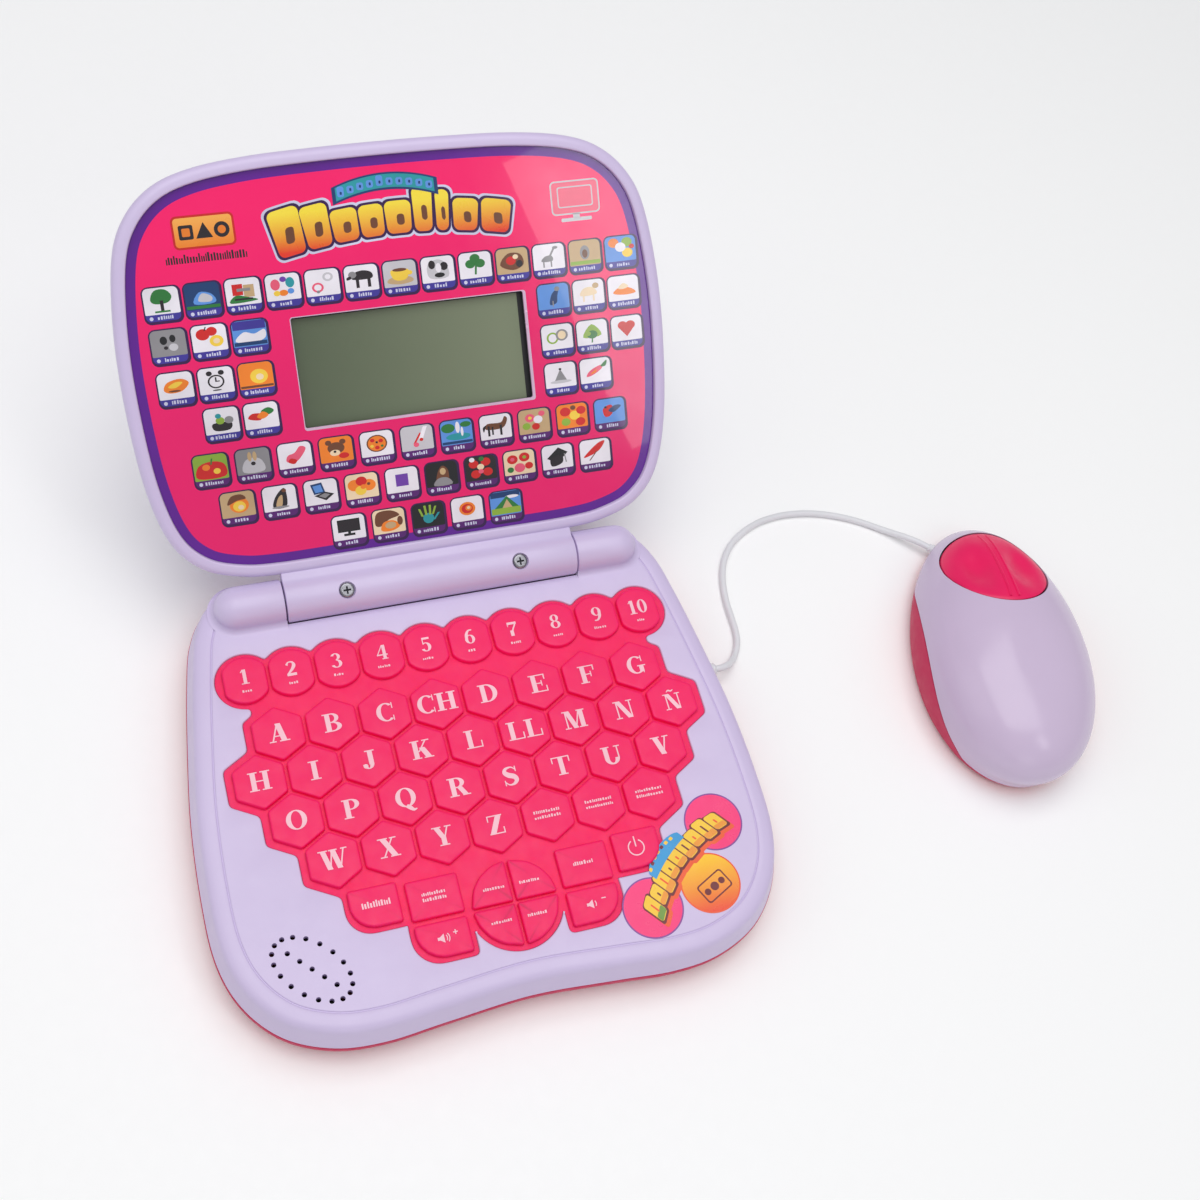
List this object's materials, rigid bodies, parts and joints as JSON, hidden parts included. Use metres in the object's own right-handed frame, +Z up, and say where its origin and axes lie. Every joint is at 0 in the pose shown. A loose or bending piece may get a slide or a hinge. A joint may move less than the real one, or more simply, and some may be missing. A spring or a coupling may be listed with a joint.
{
  "type": "toy laptop computer",
  "caption": "Toy laptop with a hinged lid holding a display in a printed picture panel, a keypad of hexagonal keys, a speaker and a corded mouse.",
  "frame": {"origin": "middle of the central foot of the case, on the plane the case rests on", "axes": "+X to the right of a person at the keys, +Y towards the hinge, +Z up"},
  "size_m": [0.3384, 0.2651, 0.1265],
  "materials": {
    "lavender_plastic": "satin moulded plastic",
    "pink_plastic": "satin moulded plastic",
    "key_rubber": "soft-touch silicone",
    "printed_panel": "glossy printed sheet",
    "sticker_print": "glossy printed sticker",
    "lcd_glass": "polished glass over a grey-green liquid crystal",
    "steel": "zinc-plated",
    "circuit_board": "solder-masked",
    "black_plastic": "matt",
    "foot_rubber": "matt",
    "cord_sheath": "smooth flexible vinyl",
    "cell_wrap": "printed wrap",
    "mouse_lavender": "polished moulded plastic"
  },
  "bodies": {
    "base": {"base_top_shell": "lavender_plastic", "base_bottom_shell": "pink_plastic", "battery_door": "pink_plastic", "battery_cells": "cell_wrap", "battery_contacts": "steel", "main_board": "circuit_board", "key_mat": "key_rubber", "speaker": "black_plastic", "rubber_feet": "foot_rubber", "case_screws": "steel", "cord_grommet": "cord_sheath", "mouse_cord": "cord_sheath", "hinge_pins": "steel", "badge_sticker": "sticker_print", "mouse_top_shell": "mouse_lavender", "mouse_bottom_shell": "pink_plastic", "mouse_board": "circuit_board", "mouse_screws": "steel", "mouse_grommet": "cord_sheath"},
    "lid": {"lid_front_shell": "lavender_plastic", "lid_back_shell": "lavender_plastic", "screen_panel": "printed_panel", "lcd_module": "lcd_glass", "lid_board": "circuit_board", "hinge_screws": "steel"},
    "mouse_rocker": {"mouse_button": "pink_plastic"},
    "number_keys": {"number_keys": "key_rubber"},
    "menu_keys": {"menu_keys": "key_rubber"},
    "key_power_cap": {"key_power": "key_rubber"},
    "key_volume_up_cap": {"key_volume_up": "key_rubber"},
    "key_volume_down_cap": {"key_volume_down": "key_rubber"},
    "key_a_cap": {"key_a": "key_rubber"},
    "key_b_cap": {"key_b": "key_rubber"},
    "key_c_cap": {"key_c": "key_rubber"},
    "key_ch_cap": {"key_ch": "key_rubber"},
    "key_d_cap": {"key_d": "key_rubber"},
    "key_e_cap": {"key_e": "key_rubber"},
    "key_f_cap": {"key_f": "key_rubber"},
    "key_g_cap": {"key_g": "key_rubber"},
    "key_h_cap": {"key_h": "key_rubber"},
    "key_i_cap": {"key_i": "key_rubber"},
    "key_j_cap": {"key_j": "key_rubber"},
    "key_k_cap": {"key_k": "key_rubber"},
    "key_l_cap": {"key_l": "key_rubber"},
    "key_ll_cap": {"key_ll": "key_rubber"},
    "key_m_cap": {"key_m": "key_rubber"},
    "key_n_cap": {"key_n": "key_rubber"},
    "key_n_tilde_cap": {"key_n_tilde": "key_rubber"},
    "key_o_cap": {"key_o": "key_rubber"},
    "key_p_cap": {"key_p": "key_rubber"},
    "key_q_cap": {"key_q": "key_rubber"},
    "key_r_cap": {"key_r": "key_rubber"},
    "key_s_cap": {"key_s": "key_rubber"},
    "key_t_cap": {"key_t": "key_rubber"},
    "key_u_cap": {"key_u": "key_rubber"},
    "key_v_cap": {"key_v": "key_rubber"},
    "key_w_cap": {"key_w": "key_rubber"},
    "key_x_cap": {"key_x": "key_rubber"},
    "key_y_cap": {"key_y": "key_rubber"},
    "key_z_cap": {"key_z": "key_rubber"}
  },
  "joints": [
    {"name": "lid_hinge", "type": "hinge", "parent": "base", "child": "lid", "pos_m": [0, 0.0732, 0.0265], "axis": [1, 0, 0], "range_deg": [0, 138]},
    {"name": "mouse_rock", "type": "hinge", "parent": "base", "child": "mouse_rocker", "pos_m": [0.21339, 0.04062, 0.02], "axis": [0.1736, 0.9848, 0], "range_deg": [-2.5, 2.5], "stiffness_Nm_per_rad": 0.6},
    {"name": "number_keys_press", "type": "slide", "parent": "base", "child": "number_keys", "axis": [0, 0, -1], "range_m": [0, 0.0009], "stiffness_N_per_m": 4000},
    {"name": "menu_keys_press", "type": "slide", "parent": "base", "child": "menu_keys", "axis": [0, 0, -1], "range_m": [0, 0.0009], "stiffness_N_per_m": 4000},
    {"name": "key_power_press", "type": "slide", "parent": "base", "child": "key_power_cap", "axis": [0, 0, -1], "range_m": [0, 0.0009], "stiffness_N_per_m": 600},
    {"name": "key_volume_up_press", "type": "slide", "parent": "base", "child": "key_volume_up_cap", "axis": [0, 0, -1], "range_m": [0, 0.0009], "stiffness_N_per_m": 600},
    {"name": "key_volume_down_press", "type": "slide", "parent": "base", "child": "key_volume_down_cap", "axis": [0, 0, -1], "range_m": [0, 0.0009], "stiffness_N_per_m": 600},
    {"name": "key_a_press", "type": "slide", "parent": "base", "child": "key_a_cap", "axis": [0, 0, -1], "range_m": [0, 0.0009], "stiffness_N_per_m": 600},
    {"name": "key_b_press", "type": "slide", "parent": "base", "child": "key_b_cap", "axis": [0, 0, -1], "range_m": [0, 0.0009], "stiffness_N_per_m": 600},
    {"name": "key_c_press", "type": "slide", "parent": "base", "child": "key_c_cap", "axis": [0, 0, -1], "range_m": [0, 0.0009], "stiffness_N_per_m": 600},
    {"name": "key_ch_press", "type": "slide", "parent": "base", "child": "key_ch_cap", "axis": [0, 0, -1], "range_m": [0, 0.0009], "stiffness_N_per_m": 600},
    {"name": "key_d_press", "type": "slide", "parent": "base", "child": "key_d_cap", "axis": [0, 0, -1], "range_m": [0, 0.0009], "stiffness_N_per_m": 600},
    {"name": "key_e_press", "type": "slide", "parent": "base", "child": "key_e_cap", "axis": [0, 0, -1], "range_m": [0, 0.0009], "stiffness_N_per_m": 600},
    {"name": "key_f_press", "type": "slide", "parent": "base", "child": "key_f_cap", "axis": [0, 0, -1], "range_m": [0, 0.0009], "stiffness_N_per_m": 600},
    {"name": "key_g_press", "type": "slide", "parent": "base", "child": "key_g_cap", "axis": [0, 0, -1], "range_m": [0, 0.0009], "stiffness_N_per_m": 600},
    {"name": "key_h_press", "type": "slide", "parent": "base", "child": "key_h_cap", "axis": [0, 0, -1], "range_m": [0, 0.0009], "stiffness_N_per_m": 600},
    {"name": "key_i_press", "type": "slide", "parent": "base", "child": "key_i_cap", "axis": [0, 0, -1], "range_m": [0, 0.0009], "stiffness_N_per_m": 600},
    {"name": "key_j_press", "type": "slide", "parent": "base", "child": "key_j_cap", "axis": [0, 0, -1], "range_m": [0, 0.0009], "stiffness_N_per_m": 600},
    {"name": "key_k_press", "type": "slide", "parent": "base", "child": "key_k_cap", "axis": [0, 0, -1], "range_m": [0, 0.0009], "stiffness_N_per_m": 600},
    {"name": "key_l_press", "type": "slide", "parent": "base", "child": "key_l_cap", "axis": [0, 0, -1], "range_m": [0, 0.0009], "stiffness_N_per_m": 600},
    {"name": "key_ll_press", "type": "slide", "parent": "base", "child": "key_ll_cap", "axis": [0, 0, -1], "range_m": [0, 0.0009], "stiffness_N_per_m": 600},
    {"name": "key_m_press", "type": "slide", "parent": "base", "child": "key_m_cap", "axis": [0, 0, -1], "range_m": [0, 0.0009], "stiffness_N_per_m": 600},
    {"name": "key_n_press", "type": "slide", "parent": "base", "child": "key_n_cap", "axis": [0, 0, -1], "range_m": [0, 0.0009], "stiffness_N_per_m": 600},
    {"name": "key_n_tilde_press", "type": "slide", "parent": "base", "child": "key_n_tilde_cap", "axis": [0, 0, -1], "range_m": [0, 0.0009], "stiffness_N_per_m": 600},
    {"name": "key_o_press", "type": "slide", "parent": "base", "child": "key_o_cap", "axis": [0, 0, -1], "range_m": [0, 0.0009], "stiffness_N_per_m": 600},
    {"name": "key_p_press", "type": "slide", "parent": "base", "child": "key_p_cap", "axis": [0, 0, -1], "range_m": [0, 0.0009], "stiffness_N_per_m": 600},
    {"name": "key_q_press", "type": "slide", "parent": "base", "child": "key_q_cap", "axis": [0, 0, -1], "range_m": [0, 0.0009], "stiffness_N_per_m": 600},
    {"name": "key_r_press", "type": "slide", "parent": "base", "child": "key_r_cap", "axis": [0, 0, -1], "range_m": [0, 0.0009], "stiffness_N_per_m": 600},
    {"name": "key_s_press", "type": "slide", "parent": "base", "child": "key_s_cap", "axis": [0, 0, -1], "range_m": [0, 0.0009], "stiffness_N_per_m": 600},
    {"name": "key_t_press", "type": "slide", "parent": "base", "child": "key_t_cap", "axis": [0, 0, -1], "range_m": [0, 0.0009], "stiffness_N_per_m": 600},
    {"name": "key_u_press", "type": "slide", "parent": "base", "child": "key_u_cap", "axis": [0, 0, -1], "range_m": [0, 0.0009], "stiffness_N_per_m": 600},
    {"name": "key_v_press", "type": "slide", "parent": "base", "child": "key_v_cap", "axis": [0, 0, -1], "range_m": [0, 0.0009], "stiffness_N_per_m": 600},
    {"name": "key_w_press", "type": "slide", "parent": "base", "child": "key_w_cap", "axis": [0, 0, -1], "range_m": [0, 0.0009], "stiffness_N_per_m": 600},
    {"name": "key_x_press", "type": "slide", "parent": "base", "child": "key_x_cap", "axis": [0, 0, -1], "range_m": [0, 0.0009], "stiffness_N_per_m": 600},
    {"name": "key_y_press", "type": "slide", "parent": "base", "child": "key_y_cap", "axis": [0, 0, -1], "range_m": [0, 0.0009], "stiffness_N_per_m": 600},
    {"name": "key_z_press", "type": "slide", "parent": "base", "child": "key_z_cap", "axis": [0, 0, -1], "range_m": [0, 0.0009], "stiffness_N_per_m": 600}
  ]
}
